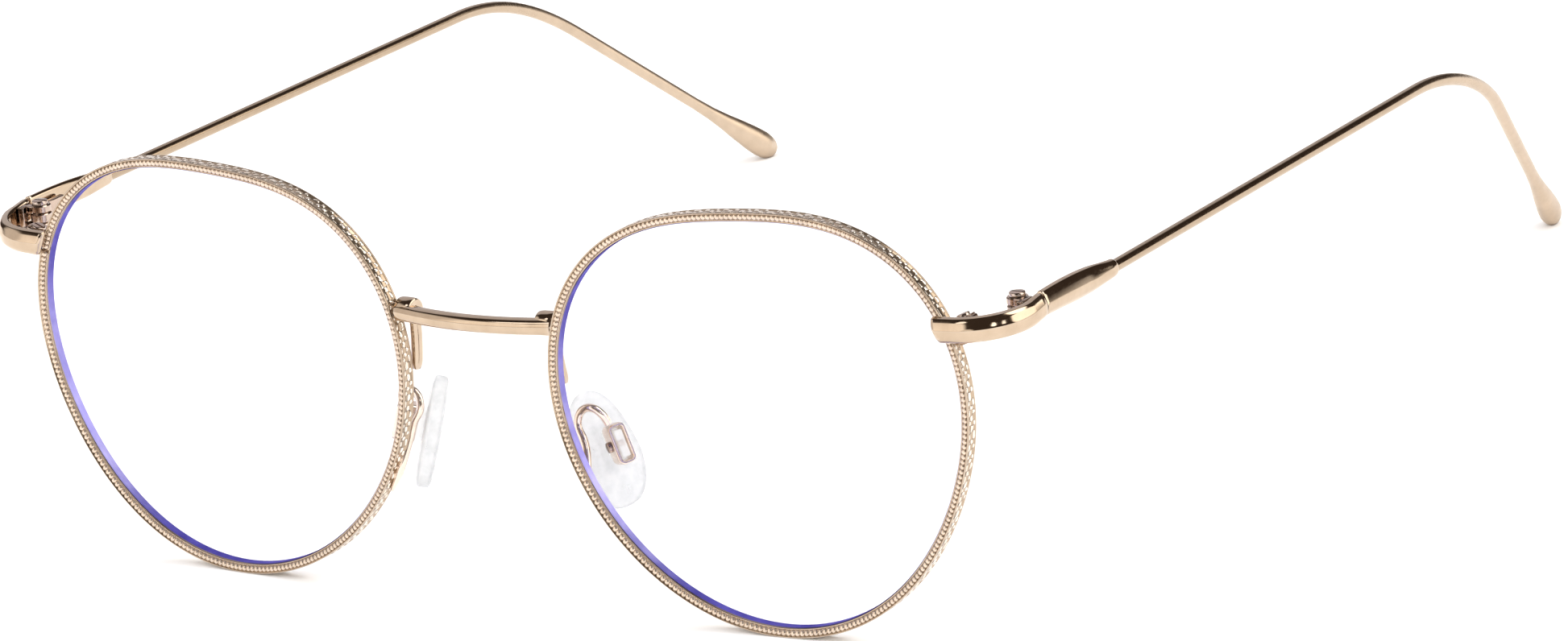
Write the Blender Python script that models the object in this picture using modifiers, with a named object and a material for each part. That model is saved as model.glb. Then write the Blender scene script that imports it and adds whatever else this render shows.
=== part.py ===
"""Round metal eyeglasses: two eyewires with lenses, a bridge, adjustable nose pads and folding wire temples.

Everything is drawn in the front's own frame, in metres: X to the right as seen from the front, Y towards the
wearer's ears, Z up, with the origin midway between the two lenses. An empty then leans the whole object back
until the eyewires and the temple tips stand on the ground, Z = 0. Each paired piece is drawn once, for the
right side, and mirrored for the left.
"""

import math

import bmesh
import bpy
from mathutils import Matrix, Vector

MM = 0.001

# The lens opening: a round outline, lower and wider than a circle, as waves round a mean radius.
# Each wave is its order, then its cosine and sine heights. Angles run from the temple side, up and over.
LENS_CENTRE_X = 36.65 * MM
LENS_RADIUS = 24.9 * MM
LENS_WAVES = ((1, 0.57, -1.26), (2, 1.19, 0.19), (3, -0.18, 0.98), (4, -0.20, 0.07))
FACE_WRAP = math.radians(2.75)
OUTLINE_STEPS = 60

# The eyewire's section: across from the lens opening outwards, and back from its front face.
RIM_WIDTH = 1.1 * MM
RIM_DEPTH = 2.0 * MM
RIM_BEVEL = 0.32 * MM
GROOVE_DEPTH = 0.45 * MM
GROOVE_HALF = 0.40 * MM
RIM_LOCK_ANGLE = math.radians(20.8)
RIM_LOCK_SPLIT = 0.4 * MM
RIM_LOCK_BLOCK = Vector((3.0, 1.7, 1.25)) * MM
RIM_LOCK_GAP = 0.12 * MM
RIM_LOCK_BORES = {"rim_lock_upper": 0.62 * MM, "rim_lock_lower": 0.56 * MM}
RIM_LOCK_BORE_SHARE = 0.55
RIM_LOCK_BACK = 1.5 * MM
RIM_LOCK_HALF_SPLIT = 0.15 * MM
RIM_LOCK_SCREW = (0.48 * MM, 0.80 * MM, 0.38 * MM)

# A screw's head stands this far off the part under it. Its slot has a width and a depth.
HEAD_GAP = 0.06 * MM
SLOT_WIDTH = 0.22 * MM
SLOT_DEPTH = 0.16 * MM

LENS_THICKNESS = 1.3 * MM
LENS_DOME = 1.4 * MM
LENS_GAP = 0.10 * MM
LENS_BEVEL = 0.30 * MM

BRIDGE_RADIUS = 0.95 * MM
BRIDGE_HEIGHT = 7.1 * MM
BRIDGE_BOW = 1.5 * MM
BRIDGE_HALF = 10.5 * MM
# Each foot's top has an arm that comes forward to the bar. Its size, and its place over the plate's top station.
BRIDGE_ARM = Vector((2.2, 1.56, 1.5)) * MM
BRIDGE_ARM_SHIFT = Vector((-0.15, 0, 1.9)) * MM

# The end pieces and the temples' thick front ends share one ridged section.
BAR_HALF_HEIGHT = 1.4 * MM
BAR_INSIDE = 0.72 * MM
END_PIECE_Y = 0.25 * MM
END_PIECE_TURN = 6.3 * MM
END_PIECE_SLANT = math.radians(17)
BAR_X = 70.2 * MM
JOINT_Y = 8.6 * MM
JOINT_GAP = 0.15 * MM

HINGE_AXIS = Vector((67.5, 8.0, 11.5)) * MM
KNUCKLE_RADIUS = 1.25 * MM
KNUCKLE_HEIGHTS = (0.90 * MM, 1.10 * MM, 0.90 * MM)
KNUCKLE_GAP = 0.08 * MM
HINGE_BORE = 0.62 * MM
HINGE_SCREW = (0.52 * MM, 0.95 * MM, 0.85 * MM, 0.45 * MM)
HINGE_SCREW_STUB = 0.2 * MM
HINGE_LEAF = 0.75 * MM
HINGE_LEAF_GAP = 0.17 * MM
HINGE_LEAF_REACH = 2.0 * MM
HINGE_REAR_LENGTH = 4.6 * MM
HINGE_REAR_INSET = 0.25 * MM
KNUCKLE_ROOM = 0.12 * MM

WIRE_RADIUS = 0.73 * MM
WIRE_START = Vector((70.15, 9.9, 11.63)) * MM
WIRE_SPLAY = math.radians(1.2)
WIRE_RISE = math.radians(0.35)
WIRE_STRAIGHT = 83.5 * MM
# Behind the ear the wire bends down. Its bending plane leans in towards the head as it goes.
EAR_BEND_RADIUS = 33.0 * MM
EAR_BEND_ANGLE = math.radians(41.7)
EAR_BEND_LEANS = (math.radians(-6), math.radians(11.5))
TIP_LENGTH = 36.5 * MM
SHANK_END = 14.1 * MM
SOCKET_DEPTH = 5.0 * MM
SLEEVE_LENGTH = 4.4 * MM
SLEEVE_RADII = (1.05 * MM, 0.92 * MM)
# Half the paddle's height at each distance from its end. Its thickness is a share of that.
TIP_PROFILE = ((15, 0.73), (12, 0.82), (9.5, 1.04), (7, 1.36), (4.6, 1.6))
TIP_PROFILE += ((2.6, 1.66), (1.2, 1.42), (0.4, 0.95), (0.05, 0.4))
TIP_FLATNESS = 0.84

PAD_CENTRE = Vector((12.0, 5.4, -8.9)) * MM
PAD_FLARE = math.radians(19)
PAD_SPLAY = math.radians(34)
PAD_SIZE = Vector((7.8, 2.1, 13.8)) * MM
PAD_SQUARENESS = 3.2
PAD_BOX = Vector((2.2, 2.6, 4.8)) * MM
PAD_BOX_WALL = 0.42 * MM
PAD_BOX_STANDOFF = 3.1 * MM
PAD_BOX_SHIFT = Vector((0.77, 0, 0.3)) * MM
PAD_STEM = Vector((1.0, 0.7, 2.6)) * MM
PAD_TAPER = 0.42
PAD_SCREW = (0.36 * MM, 0.62 * MM, 0.35 * MM)
PAD_BORE = 0.46 * MM
PAD_ARM_RADIUS = 0.47 * MM
PAD_ARM_ROUTE = (
    (12.60, 1.50, -11.2),
    (12.30, 1.50, -9.9),
    (12.16, 1.65, -8.1),
    (11.70, 1.95, -6.6),
    (10.95, 2.20, -5.3),
    (11.10, 2.45, -3.95),
    (12.00, 2.60, -3.15),
    (13.05, 2.70, -3.15),
    (13.85, 2.95, -3.80),
    (14.15, 3.30, -4.60),
    (14.25, 3.45, -5.05),
)

LEAN = math.radians(3.17)
DEPTH_CENTRE = 69.76 * MM
GROUND_SINK = 26.75 * MM

FINISHES = {
    "polished": ((0.83, 0.62, 0.48), 1.0, 0.14),
    "satin": ((0.80, 0.63, 0.50), 1.0, 0.32),
    "screw": ((0.72, 0.62, 0.54), 1.0, 0.25),
    "lens": ((0.93, 0.95, 1.0), 0.0, 0.03),
    "silicone": ((0.93, 0.94, 0.95), 0.0, 0.25),
}

MIRROR = Matrix.Scale(-1, 4, (1, 0, 0))


def clear_scene():
    for obj in list(bpy.data.objects):
        bpy.data.objects.remove(obj, do_unlink=True)


def collection_named(name):
    collection = bpy.data.collections.new(name)
    bpy.context.scene.collection.children.link(collection)
    return collection


def finish(obj, kind):
    """Gives the object its own material of this kind."""
    colour, metallic, roughness = FINISHES[kind]
    material = bpy.data.materials.new(obj.name)
    material.use_nodes = True
    shader = material.node_tree.nodes["Principled BSDF"]
    shader.inputs["Base Color"].default_value = (*colour, 1)
    shader.inputs["Metallic"].default_value = metallic
    shader.inputs["Roughness"].default_value = roughness
    obj.data.materials.clear()
    obj.data.materials.append(material)


def added(name, mesh, parent, placed=None):
    """A new object in the glasses' collection, under this parent."""
    obj = bpy.data.objects.new(name, mesh)
    GLASSES.objects.link(obj)
    obj.parent = parent
    obj.matrix_local = placed or Matrix()
    return obj


def empty(name, parent, placed):
    obj = added(name, None, parent, placed)
    obj.empty_display_size = 3 * MM
    return obj


def smooth(mesh, angle=32):
    mesh.shade_smooth()
    mesh.set_sharp_from_angle(angle=math.radians(angle))


def mesh_from(build):
    """A mesh from a function that fills a bmesh."""
    bm = bmesh.new()
    build(bm)
    mesh = bpy.data.meshes.new("mesh")
    bm.to_mesh(mesh)
    bm.free()
    return mesh


def as_mesh(obj):
    """The object's evaluated shape as a closed mesh. The object is removed."""
    graph = bpy.context.evaluated_depsgraph_get()
    graph.update()
    mesh = bpy.data.meshes.new_from_object(obj.evaluated_get(graph))
    bm = bmesh.new()
    bm.from_mesh(mesh)
    bmesh.ops.remove_doubles(bm, verts=bm.verts, dist=0.0005 * MM)
    bmesh.ops.recalc_face_normals(bm, faces=bm.faces)
    bm.to_mesh(mesh)
    bm.free()
    bpy.data.objects.remove(obj)
    mesh.materials.clear()
    return mesh


def poly_curve(points, radii=None, cyclic=False):
    curve = bpy.data.curves.new("curve", "CURVE")
    curve.dimensions = "3D"
    spline = curve.splines.new("POLY")
    spline.points.add(len(points) - 1)
    for i, point in enumerate(points):
        spline.points[i].co = (*point, 1)
        spline.points[i].radius = radii[i] if radii else 1
    spline.use_cyclic_u = cyclic
    return curve


def wire_mesh(points, radius, radii=None, resolution=3):
    """A round wire along these points. radii scale its radius at each."""
    curve = poly_curve(points, radii)
    curve.bevel_depth = radius
    curve.bevel_resolution = resolution
    curve.use_fill_caps = True
    obj = bpy.data.objects.new("wire", curve)
    GUIDES.objects.link(obj)
    return as_mesh(obj)


def swept_mesh(points, section, radii=None, flat=False):
    """A bar of this section along these points. Its section's Y stays as near Z as it can."""
    profile = bpy.data.objects.new("section", poly_curve([(x, y, 0) for x, y in section], cyclic=True))
    profile.data.dimensions = "2D"
    profile.data.fill_mode = "NONE"
    GUIDES.objects.link(profile)
    curve = poly_curve(points, radii)
    if flat:
        curve.dimensions = "2D"
    curve.twist_mode = "Z_UP"
    curve.bevel_mode = "OBJECT"
    curve.bevel_object = profile
    curve.use_fill_caps = True
    obj = bpy.data.objects.new("bar", curve)
    GUIDES.objects.link(obj)
    mesh = as_mesh(obj)
    bpy.data.objects.remove(profile)
    return mesh


def box_mesh(low, high, bevel=0.0):
    """A box between two corners, with its edges rounded by one bevel step."""

    def build(bm):
        bmesh.ops.create_cube(bm, size=1)
        size = Vector(high) - Vector(low)
        middle = (Vector(high) + Vector(low)) / 2
        bmesh.ops.transform(bm, matrix=Matrix.Translation(middle) @ Matrix.Diagonal((*size, 1)), verts=bm.verts)
        if bevel:
            bmesh.ops.bevel(bm, geom=bm.edges, offset=bevel, segments=1, affect="EDGES")

    return mesh_from(build)


def rod_mesh(radius, length, sides=20, radius_end=None):
    """A cylinder or cone on Z, centred on the origin."""

    def build(bm):
        end = radius if radius_end is None else radius_end
        bmesh.ops.create_cone(
            bm, cap_ends=True, segments=sides, radius1=radius, radius2=end, depth=length
        )

    return mesh_from(build)


def slotted_screw(radius, low, seat, head_radius, head, head_top=None, sides=20):
    """A plain pin on Z from low up into a slotted head, which stands just above the seat."""
    overlap = head / 2
    shaft_top = seat + HEAD_GAP + overlap
    shaft = moved(rod_mesh(radius, shaft_top - low, 16), Matrix.Translation((0, 0, (shaft_top + low) / 2)))
    middle = seat + HEAD_GAP + head / 2
    cap = moved(rod_mesh(head_radius, head, sides, head_top), Matrix.Translation((0, 0, middle)))
    top = seat + HEAD_GAP + head
    half = SLOT_WIDTH / 2
    slot = box_mesh((-2 * head_radius, -half, top - SLOT_DEPTH), (2 * head_radius, half, top + head))
    return cut(joined(shaft, cap), slot)


def joined(first, second, operation="UNION"):
    """The Boolean of two meshes in one frame. Both are used up."""
    target = bpy.data.objects.new("target", first)
    tool = bpy.data.objects.new("tool", second)
    for obj in (target, tool):
        GUIDES.objects.link(obj)
    modifier = target.modifiers.new("boolean", "BOOLEAN")
    modifier.operation = operation
    modifier.solver = "EXACT"
    modifier.object = tool
    mesh = as_mesh(target)
    bpy.data.objects.remove(tool)
    return mesh


def cut(mesh, tool):
    return joined(mesh, tool, "DIFFERENCE")


def moved(mesh, matrix):
    mesh.transform(matrix)
    return mesh


def along(axis):
    """The rotation that turns Z onto this axis."""
    return Vector((0, 0, 1)).rotation_difference(Vector(axis)).to_matrix().to_4x4()


def pair(name, mesh, kind, parents, placed=None, smooth_angle=32):
    """The right piece as drawn and the left one mirrored."""
    placed = placed or Matrix()
    smooth(mesh, smooth_angle)
    right = added(name + "_right", mesh, parents["right"], placed)
    finish(right, kind)
    other = mesh.copy()
    other.transform(MIRROR)
    other.flip_normals()
    left = added(name + "_left", other, parents["left"], MIRROR @ placed @ MIRROR)
    finish(left, kind)
    return right, left


def paired_empty(name, parents, placed):
    return {
        "right": empty(name + "_right", parents["right"], placed),
        "left": empty(name + "_left", parents["left"], MIRROR @ placed @ MIRROR),
    }


def opening_radius(angle):
    waves = sum(c * math.cos(n * angle) + s * math.sin(n * angle) for n, c, s in LENS_WAVES)
    return LENS_RADIUS + waves * MM


def outline_point(angle, offset=0.0, back=0.0):
    """A point on the lens opening's outline, moved outwards by offset and back by back."""
    radius = opening_radius(angle)
    step = 1e-4
    slope = (opening_radius(angle + step) - opening_radius(angle - step)) / (2 * step)
    tangent = Vector(
        (slope * math.cos(angle) - radius * math.sin(angle), slope * math.sin(angle) + radius * math.cos(angle))
    ).normalized()
    x = radius * math.cos(angle) + offset * tangent.y
    z = radius * math.sin(angle) - offset * tangent.x
    return Vector((x, back, z))


def rim_section():
    """Across from the opening, then forwards: a bevelled bar with a V groove for the lens."""
    middle = RIM_DEPTH / 2
    return [
        (0, -RIM_BEVEL),
        (RIM_BEVEL, 0),
        (RIM_WIDTH - RIM_BEVEL, 0),
        (RIM_WIDTH, -RIM_BEVEL),
        (RIM_WIDTH, RIM_BEVEL - RIM_DEPTH),
        (RIM_WIDTH - RIM_BEVEL, -RIM_DEPTH),
        (RIM_BEVEL, -RIM_DEPTH),
        (0, RIM_BEVEL - RIM_DEPTH),
        (0, -middle - GROOVE_HALF),
        (GROOVE_DEPTH, -middle),
        (0, -middle + GROOVE_HALF),
    ]


def make_rims(parents):
    half_split = RIM_LOCK_SPLIT / 2 / LENS_RADIUS
    sweep = 2 * math.pi - 2 * half_split
    angles = [RIM_LOCK_ANGLE + half_split + sweep * i / OUTLINE_STEPS for i in range(OUTLINE_STEPS + 1)]
    route = [outline_point(angle) for angle in angles]
    mesh = swept_mesh([(p.x, p.z, 0) for p in route], rim_section(), flat=True)
    pair("rim", moved(mesh, Matrix.Rotation(math.radians(90), 4, "X")), "satin", parents)


def make_lenses(parents):
    """A turned blank, domed to the front, then edged to the opening's outline."""
    front = -(RIM_DEPTH - LENS_THICKNESS) / 2
    back = front - LENS_THICKNESS
    middle = (front + back) / 2
    rings = (0.0, 0.35, 0.7)
    edge = LENS_RADIUS - LENS_GAP
    profile = [(edge * r, front + LENS_DOME * (1 - r * r)) for r in rings]
    profile += [(edge, front), (edge, middle + LENS_BEVEL), (edge + LENS_BEVEL, middle)]
    profile += [(edge, middle - LENS_BEVEL), (edge, back)]
    profile += [(edge * r, back + LENS_DOME * (1 - r * r)) for r in reversed(rings)]
    blank = bpy.data.meshes.new("blank")
    blank.from_pydata([(x, 0, z) for x, z in profile], [(i, i + 1) for i in range(len(profile) - 1)], [])
    obj = bpy.data.objects.new("blank", blank)
    GUIDES.objects.link(obj)
    turn = obj.modifiers.new("turn", "SCREW")
    turn.axis = "Z"
    turn.steps = turn.render_steps = OUTLINE_STEPS
    turn.use_merge_vertices = True
    turn.merge_threshold = 0.00001
    mesh = as_mesh(obj)
    for vertex in mesh.vertices:
        angle = math.atan2(vertex.co.y, vertex.co.x)
        scale = opening_radius(angle) / LENS_RADIUS
        vertex.co.x *= scale
        vertex.co.y *= scale
    pair("lens", moved(mesh, Matrix.Rotation(math.radians(90), 4, "X")), "lens", parents, smooth_angle=30)


def make_rim_locks(parents):
    """Two blocks brazed to the eyewire's ends, and the screw that draws them together round the lens."""
    end = outline_point(RIM_LOCK_ANGLE, RIM_WIDTH)
    normal = outline_point(RIM_LOCK_ANGLE, RIM_WIDTH + 1) - end
    tilt = math.atan2(normal.z, normal.x)
    lock = Matrix.Translation(end) @ Matrix.Rotation(-tilt, 4, "Y")
    size = RIM_LOCK_BLOCK
    bore = Vector((RIM_LOCK_GAP + size.x * RIM_LOCK_BORE_SHARE, RIM_LOCK_BACK, 0))
    bottoms = {"rim_lock_upper": RIM_LOCK_HALF_SPLIT, "rim_lock_lower": -RIM_LOCK_HALF_SPLIT - size.z}
    for name, low_z in bottoms.items():
        low = Vector((RIM_LOCK_GAP, bore.y - size.y / 2, low_z))
        block = box_mesh(low, low + size, 0.2 * MM)
        hole = moved(rod_mesh(RIM_LOCK_BORES[name], 8 * MM), Matrix.Translation(bore))
        pair(name, cut(block, hole), "satin", parents, lock)
    top = RIM_LOCK_HALF_SPLIT + size.z
    radius, head_radius, head = RIM_LOCK_SCREW
    screw = slotted_screw(radius, -top + 0.1 * MM, top, head_radius, head)
    pair("rim_lock_screw", screw, "screw", parents, lock @ Matrix.Translation(bore))


def make_bridge(front):
    steps = 12
    xs = [BRIDGE_HALF * (2 * i / steps - 1) for i in range(steps + 1)]
    route = [(x, -BRIDGE_BOW * (1 - (x / BRIDGE_HALF) ** 2), BRIDGE_HEIGHT) for x in xs]
    mesh = wire_mesh(route, BRIDGE_RADIUS)
    smooth(mesh, 40)
    finish(added("bridge", mesh, front), "polished")


def make_bridge_feet(parents):
    """A plate brazed behind each eyewire's nose side, which the bridge is joined to."""
    half_width = 0.6 * MM
    half_depth = 0.85 * MM
    corner = 0.25 * MM
    section = [
        (-half_width, -half_depth + corner),
        (-half_width + corner, -half_depth),
        (half_width - corner, -half_depth),
        (half_width, -half_depth + corner),
        (half_width, half_depth - corner),
        (half_width - corner, half_depth),
        (-half_width + corner, half_depth),
        (-half_width, half_depth - corner),
    ]
    stations = ((180, 0.55), (176, 0.95), (172, 1.4), (168, 1.85))
    route = [outline_point(math.radians(angle), offset * MM) for angle, offset in stations]
    top = route[-1]
    route += [Vector((top.x, 0, top.z + 0.9 * MM)), Vector((top.x - 0.5 * MM, 0, top.z + 1.7 * MM))]
    mesh = swept_mesh([(p.x, p.z, 0) for p in route], section, flat=True)
    back = RIM_DEPTH + 0.2 * MM + half_depth
    turned = Matrix.Translation((0, back, 0)) @ Matrix.Rotation(math.radians(90), 4, "X")
    mesh = moved(mesh, turned)
    arm_x, arm_z = top.x + BRIDGE_ARM_SHIFT.x, top.z + BRIDGE_ARM_SHIFT.z
    low = Vector((arm_x - BRIDGE_ARM.x / 2, back + half_depth - BRIDGE_ARM.y, arm_z - BRIDGE_ARM.z / 2))
    arm = box_mesh(low, low + BRIDGE_ARM, 0.35 * MM)
    pair("bridge_foot", joined(mesh, arm), "polished", parents)


def bar_section():
    """The ridged section: flat inside, and two long facets and a top chamfer outside. X is outwards."""
    h = BAR_HALF_HEIGHT
    return [
        (-BAR_INSIDE, -0.80 * h),
        (-0.45 * MM, -h),
        (0.28 * MM, -h),
        (0.62 * MM, -0.66 * h),
        (0.78 * MM, -0.08 * h),
        (0.50 * MM, 0.58 * h),
        (0.12 * MM, 0.92 * h),
        (-0.45 * MM, h),
        (-BAR_INSIDE, 0.80 * h),
    ]


def outward(section):
    """The section turned for a route that runs from the front to the back on the right side."""
    return [(-x, y) for x, y in reversed(section)]


def make_end_pieces(parents):
    """A ridged bar that laps over the eyewire's front and turns back to the hinge."""
    start = Vector((60.6 * MM, END_PIECE_Y, 10.95 * MM))
    turn_x = BAR_X - END_PIECE_TURN
    turn_y = END_PIECE_Y + END_PIECE_TURN
    turn_steps = 8
    route = [start, Vector((turn_x, END_PIECE_Y, 11.1 * MM))]
    for i in range(1, turn_steps + 1):
        a = math.pi / 2 * i / turn_steps
        height = (11.1 + 0.6 * i / turn_steps) * MM
        route.append(
            Vector((turn_x + END_PIECE_TURN * math.sin(a), turn_y - END_PIECE_TURN * math.cos(a), height))
        )
    route.append(Vector((BAR_X, JOINT_Y + 1 * MM, 12.1 * MM)))
    mesh = swept_mesh(route, outward(bar_section()))
    slant = Matrix.Translation((61.75 * MM, 0, 11 * MM)) @ Matrix.Rotation(-END_PIECE_SLANT, 4, "Y")
    mesh = cut(mesh, moved(box_mesh((-6 * MM, -5 * MM, -5 * MM), (0, 5 * MM, 5 * MM)), slant))
    mesh = cut(mesh, box_mesh((60 * MM, JOINT_Y, 0), (80 * MM, JOINT_Y + 5 * MM, 20 * MM)))
    pair("end_piece", mesh, "polished", parents, smooth_angle=20)


def wire_point(distance):
    """The temple's centre line, this far behind its start."""
    heading = Vector((-math.sin(WIRE_SPLAY), math.cos(WIRE_SPLAY), math.tan(WIRE_RISE))).normalized()
    if distance <= WIRE_STRAIGHT:
        return WIRE_START + heading * distance
    down = (Vector((0, 0, -1)) + heading * heading.z).normalized()
    inward = heading.cross(down)
    bend_start = WIRE_START + heading * WIRE_STRAIGHT

    def bend_point(angle):
        share = angle / EAR_BEND_ANGLE
        lean = EAR_BEND_LEANS[0] + (EAR_BEND_LEANS[1] - EAR_BEND_LEANS[0]) * share
        towards = math.cos(lean) * down + math.sin(lean) * inward
        return bend_start + EAR_BEND_RADIUS * (math.sin(angle) * heading + (1 - math.cos(angle)) * towards)

    angle = (distance - WIRE_STRAIGHT) / EAR_BEND_RADIUS
    if angle <= EAR_BEND_ANGLE:
        return bend_point(angle)
    end = bend_point(EAR_BEND_ANGLE)
    tip_heading = (end - bend_point(EAR_BEND_ANGLE * 0.999)).normalized()
    return end + tip_heading * (distance - WIRE_STRAIGHT - EAR_BEND_RADIUS * EAR_BEND_ANGLE)


def make_temple_wires(hinges):
    """A drawn wire, straight to the ear, bent down and in, and pressed to a flat drop at its tip."""
    bend_length = EAR_BEND_RADIUS * EAR_BEND_ANGLE
    bend_end = WIRE_STRAIGHT + bend_length
    length = bend_end + TIP_LENGTH
    bend_steps = 10
    stations = [(SHANK_END - SOCKET_DEPTH + 0.3 * MM, 1.0), (WIRE_STRAIGHT / 2, 1.0)]
    stations += [(WIRE_STRAIGHT + bend_length * i / bend_steps, 1.0) for i in range(bend_steps + 1)]
    stations += [(bend_end + TIP_LENGTH / 3, 1.0)]
    stations += [(length - d * MM, r * MM / WIRE_RADIUS) for d, r in TIP_PROFILE]
    route = [wire_point(d) - HINGE_AXIS for d, _ in stations]
    mesh = wire_mesh(route, WIRE_RADIUS, [r for _, r in stations])
    tip_start = wire_point(bend_end) - HINGE_AXIS
    tip_heading = (wire_point(length) - HINGE_AXIS - tip_start).normalized()
    flat_normal = (Vector((1, 0, 0)) - tip_heading * tip_heading.x).normalized()
    press_from = TIP_LENGTH - TIP_PROFILE[0][0] * MM
    press_to = TIP_LENGTH - TIP_PROFILE[4][0] * MM
    for vertex in mesh.vertices:
        offset = vertex.co - tip_start
        share = (offset.dot(tip_heading) - press_from) / (press_to - press_from)
        share = min(max(share, 0.0), 1.0)
        vertex.co -= flat_normal * offset.dot(flat_normal) * (1 - TIP_FLATNESS) * share
    pair("temple_wire", mesh, "satin", hinges, smooth_angle=50)


def make_temple_shanks(hinges):
    """The thick front end of each temple, with a socket that holds the wire."""
    stations = ((0.0, 12.12, 1.0), (3.5, 12.08, 1.07), (7.0, 11.96, 1.08), (10.5, 11.82, 0.98))
    stations += ((13.0, 11.74, 0.86), (14.4, 11.70, 0.76), (15.0, 11.70, 0.66))
    front = JOINT_Y + JOINT_GAP
    slope = math.tan(WIRE_SPLAY)
    route = [Vector((BAR_X - slope * d * MM, front + d * MM, z * MM)) for d, z, _ in stations]
    mesh = swept_mesh(route, outward(bar_section()), [scale for _, _, scale in stations])
    sleeve_heel = wire_point(SHANK_END - SLEEVE_LENGTH)
    sleeve_tip = wire_point(SHANK_END)
    direction = sleeve_tip - sleeve_heel
    sleeve = rod_mesh(SLEEVE_RADII[0], direction.length, 24, SLEEVE_RADII[1])
    sleeve = moved(sleeve, Matrix.Translation((sleeve_tip + sleeve_heel) / 2) @ along(direction))
    mesh = joined(mesh, sleeve)
    tip = wire_point(SHANK_END + 4 * MM)
    heel = wire_point(SHANK_END - SOCKET_DEPTH)
    direction = tip - heel
    socket = rod_mesh(WIRE_RADIUS + 0.07 * MM, direction.length)
    socket = moved(socket, Matrix.Translation((tip + heel) / 2) @ along(direction))
    mesh = moved(cut(mesh, socket), Matrix.Translation(-HINGE_AXIS))
    pair("temple_shank", mesh, "polished", hinges, smooth_angle=20)


def knuckle_span(index):
    """Where a knuckle starts and ends on the hinge's axis, measured from its middle."""
    total = sum(KNUCKLE_HEIGHTS) + 2 * KNUCKLE_GAP
    low = -total / 2 + sum(KNUCKLE_HEIGHTS[:index]) + KNUCKLE_GAP * index
    return low, low + KNUCKLE_HEIGHTS[index]


def knuckle_mesh(index, leaf_low, leaf_high):
    """One knuckle with the tongue that joins it to its leaf, in the hinge's frame."""
    low, high = knuckle_span(index)
    barrel = moved(rod_mesh(KNUCKLE_RADIUS, high - low, 24), Matrix.Translation((0, 0, (low + high) / 2)))
    tongue = box_mesh((leaf_low[0], leaf_low[1], low), (leaf_high[0], leaf_high[1], high))
    return joined(barrel, tongue)


def make_hinges(parents, hinges):
    """A three-knuckle hinge: the outer two on the end piece, the middle one on the temple, and a screw."""
    leaf_out = BAR_X - BAR_INSIDE - HINGE_LEAF_GAP - HINGE_AXIS.x
    leaf_in = leaf_out - HINGE_LEAF
    low, high = knuckle_span(0)[0], knuckle_span(2)[1]
    bore = rod_mesh(HINGE_BORE, 3 * (high - low))
    clearance = 0.8 * KNUCKLE_GAP

    def room_for(index):
        k_low, k_high = knuckle_span(index)
        room = rod_mesh(KNUCKLE_RADIUS + KNUCKLE_ROOM, k_high - k_low + 2 * clearance, 24)
        return moved(room, Matrix.Translation((0, 0, (k_low + k_high) / 2)))

    end = JOINT_Y - HINGE_AXIS.y - 0.2 * MM
    plate = box_mesh((leaf_in, -HINGE_LEAF_REACH, low), (leaf_out, end, high), 0.12 * MM)
    for index in (0, 2):
        tongue = ((0, -KNUCKLE_RADIUS), (leaf_out - 0.1 * MM, 0.1 * MM))
        plate = joined(plate, knuckle_mesh(index, *tongue))
    plate = cut(cut(plate, room_for(1)), bore.copy())
    pair("hinge_front_leaf", plate, "satin", parents, Matrix.Translation(HINGE_AXIS))

    start = JOINT_Y + JOINT_GAP - HINGE_AXIS.y + 0.25 * MM
    leaf_out -= HINGE_REAR_INSET
    leaf_in -= HINGE_REAR_INSET
    leaf_low = (leaf_in, start, low + 0.1 * MM)
    leaf_high = (leaf_out, start + HINGE_REAR_LENGTH, high - 0.5 * MM)
    leaf = box_mesh(leaf_low, leaf_high, 0.12 * MM)
    tongue = ((0, 0.55 * MM), (leaf_out - 0.1 * MM, KNUCKLE_RADIUS + 0.5 * MM))
    leaf = joined(leaf, knuckle_mesh(1, *tongue))
    for index in (0, 2):
        leaf = cut(leaf, room_for(index))
    leaf = cut(leaf, bore)
    pair("hinge_rear_leaf", leaf, "satin", hinges)

    radius, head_radius, head_top, head = HINGE_SCREW
    screw = slotted_screw(radius, low - HINGE_SCREW_STUB, high, head_radius, head, head_top)
    pair("hinge_screw", screw, "screw", parents, Matrix.Translation(HINGE_AXIS))


def pad_basis():
    """The nose pad's axes. X is across it, -Y is out of it towards the eyewire, and Z is up it."""
    up = Vector((-math.sin(PAD_FLARE), 0, math.cos(PAD_FLARE)))
    across = Vector((math.sin(PAD_SPLAY), math.cos(PAD_SPLAY), 0))
    inward = up.cross(across).normalized()
    return Matrix((inward.cross(up), inward, up)).transposed().to_4x4()


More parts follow.
